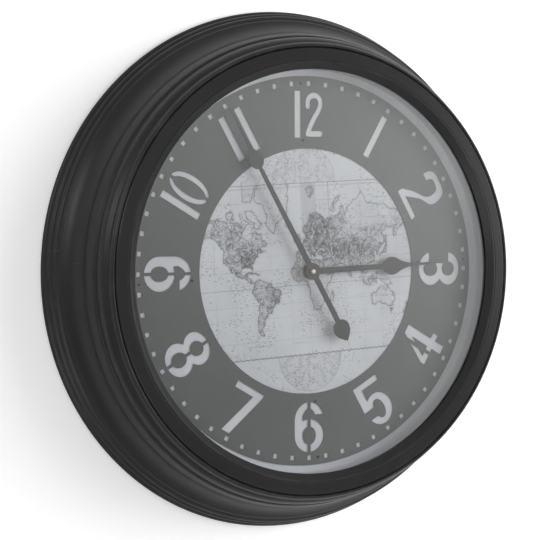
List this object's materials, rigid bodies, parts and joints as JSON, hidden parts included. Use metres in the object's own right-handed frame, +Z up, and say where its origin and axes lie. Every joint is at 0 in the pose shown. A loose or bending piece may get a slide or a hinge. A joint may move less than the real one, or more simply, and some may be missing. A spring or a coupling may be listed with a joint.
{
  "type": "wall clock",
  "caption": "Large round wall clock with a moulded case, glass, a stencil dial ring over a world map, spade hands and a quartz movement.",
  "frame": {"origin": "centre of the back rim, on the axis of the hands, in the wall's plane", "axes": "+Z up, -Y is the front that faces the viewer, +Y points into the wall, +X is to the viewer's right"},
  "size_m": [0.6, 0.0989, 0.6],
  "materials": {
    "case_black": "satin black paint",
    "bezel_black": "satin black paint",
    "lens_glass": "clear",
    "gasket_rubber": "matte",
    "liner_grey": "satin light grey paint",
    "board_wood": "raw fibre board",
    "map_paper": "printed paper",
    "ring_grey": "matte grey paint",
    "screw_dark": "black oxide",
    "screw_zinc": "zinc plated",
    "hanger_steel": "zinc plated",
    "panel_board": "dark fibre board",
    "movement_black": "matte black plastic",
    "washer_rubber": "matte",
    "brass": "bright",
    "gear_white": "natural plastic",
    "rotor_dark": "bonded magnet",
    "stator_steel": "bare",
    "coil_copper": "enamelled wire",
    "circuit_green": "solder mask",
    "chip_black": "gloss",
    "crystal_can": "bright",
    "battery_shell": "satin",
    "contact_nickel": "nickel plated",
    "hand_black": "satin black paint",
    "cap_brass": "bright"
  },
  "bodies": {
    "clock_case": {"case_moulding": "case_black", "front_bezel": "bezel_black", "bezel_screws": "screw_zinc", "glass_lens": "lens_glass", "glass_gasket": "gasket_rubber", "dial_liner": "liner_grey", "dial_board": "board_wood", "dial_board_screws": "screw_zinc", "dial_paper": "map_paper", "dial_ring": "ring_grey", "dial_ring_spacers": "screw_dark", "dial_ring_screws": "screw_dark", "back_panel": "panel_board", "back_panel_screws": "screw_zinc", "hanger_plate": "hanger_steel", "hanger_screws": "screw_zinc", "movement_housing": "movement_black", "movement_cover": "movement_black", "movement_cover_screws": "screw_zinc", "rubber_washer": "washer_rubber", "brass_washer": "brass", "hex_nut": "brass", "circuit_board": "circuit_green", "timing_chip": "chip_black", "quartz_crystal": "crystal_can", "stator": "stator_steel", "coil_core": "stator_steel", "drive_coil": "coil_copper", "battery": "battery_shell", "battery_contacts": "contact_nickel"},
    "minute_shaft": {"minute_arbor": "brass", "minute_hand": "hand_black", "hand_cap_nut": "cap_brass"},
    "hour_tube": {"hour_wheel": "gear_white", "hour_hand": "hand_black"},
    "minute_wheel_body": {"minute_wheel": "gear_white"},
    "set_knob_body": {"time_set_knob": "gear_white"},
    "rotor_body": {"rotor": "rotor_dark"},
    "reduction_body": {"reduction_wheel": "gear_white"},
    "seconds_body": {"seconds_wheel": "gear_white"},
    "third_body": {"third_wheel": "gear_white"},
    "centre_body": {"centre_wheel": "gear_white"}
  },
  "joints": [
    {"name": "minute_turn", "type": "hinge", "parent": "clock_case", "child": "minute_shaft", "pos_m": [0, -0.06, 0], "axis": [0, 1, 0], "continuous": true},
    {"name": "hour_turn", "type": "hinge", "parent": "clock_case", "child": "hour_tube", "pos_m": [0, -0.06, 0], "axis": [0, 1, 0], "continuous": true},
    {"name": "minute_wheel_turn", "type": "hinge", "parent": "clock_case", "child": "minute_wheel_body", "pos_m": [0.01182, -0.055, -0.00208], "axis": [0, 1, 0], "continuous": true},
    {"name": "set_knob_turn", "type": "hinge", "parent": "clock_case", "child": "set_knob_body", "pos_m": [0.01812, -0.045, 0.00883], "axis": [0, 1, 0], "continuous": true},
    {"name": "rotor_turn", "type": "hinge", "parent": "clock_case", "child": "rotor_body", "pos_m": [0.007, -0.05, 0.01684], "axis": [0, 1, 0], "continuous": true},
    {"name": "reduction_turn", "type": "hinge", "parent": "clock_case", "child": "reduction_body", "pos_m": [-0.00248, -0.05, 0.01767], "axis": [0, 1, 0], "continuous": true},
    {"name": "seconds_turn", "type": "hinge", "parent": "clock_case", "child": "seconds_body", "pos_m": [-0.0115, -0.05, 0.01439], "axis": [0, 1, 0], "continuous": true},
    {"name": "third_turn", "type": "hinge", "parent": "clock_case", "child": "third_body", "pos_m": [-0.0115, -0.05, 0.00419], "axis": [0, 1, 0], "continuous": true},
    {"name": "centre_turn", "type": "hinge", "parent": "clock_case", "child": "centre_body", "pos_m": [0, -0.05, 0], "axis": [0, 1, 0], "continuous": true}
  ],
  "couplings": [
    {"joint": "hour_turn", "follows": "minute_turn", "ratio": 0.083333},
    {"joint": "minute_wheel_turn", "follows": "minute_turn", "ratio": -0.33333},
    {"joint": "set_knob_turn", "follows": "minute_turn", "ratio": 0.83333},
    {"joint": "reduction_turn", "follows": "rotor_turn", "ratio": -0.13333},
    {"joint": "seconds_turn", "follows": "rotor_turn", "ratio": 0.033333},
    {"joint": "third_turn", "follows": "rotor_turn", "ratio": -0.0044444},
    {"joint": "centre_turn", "follows": "rotor_turn", "ratio": 0.00055556}
  ]
}
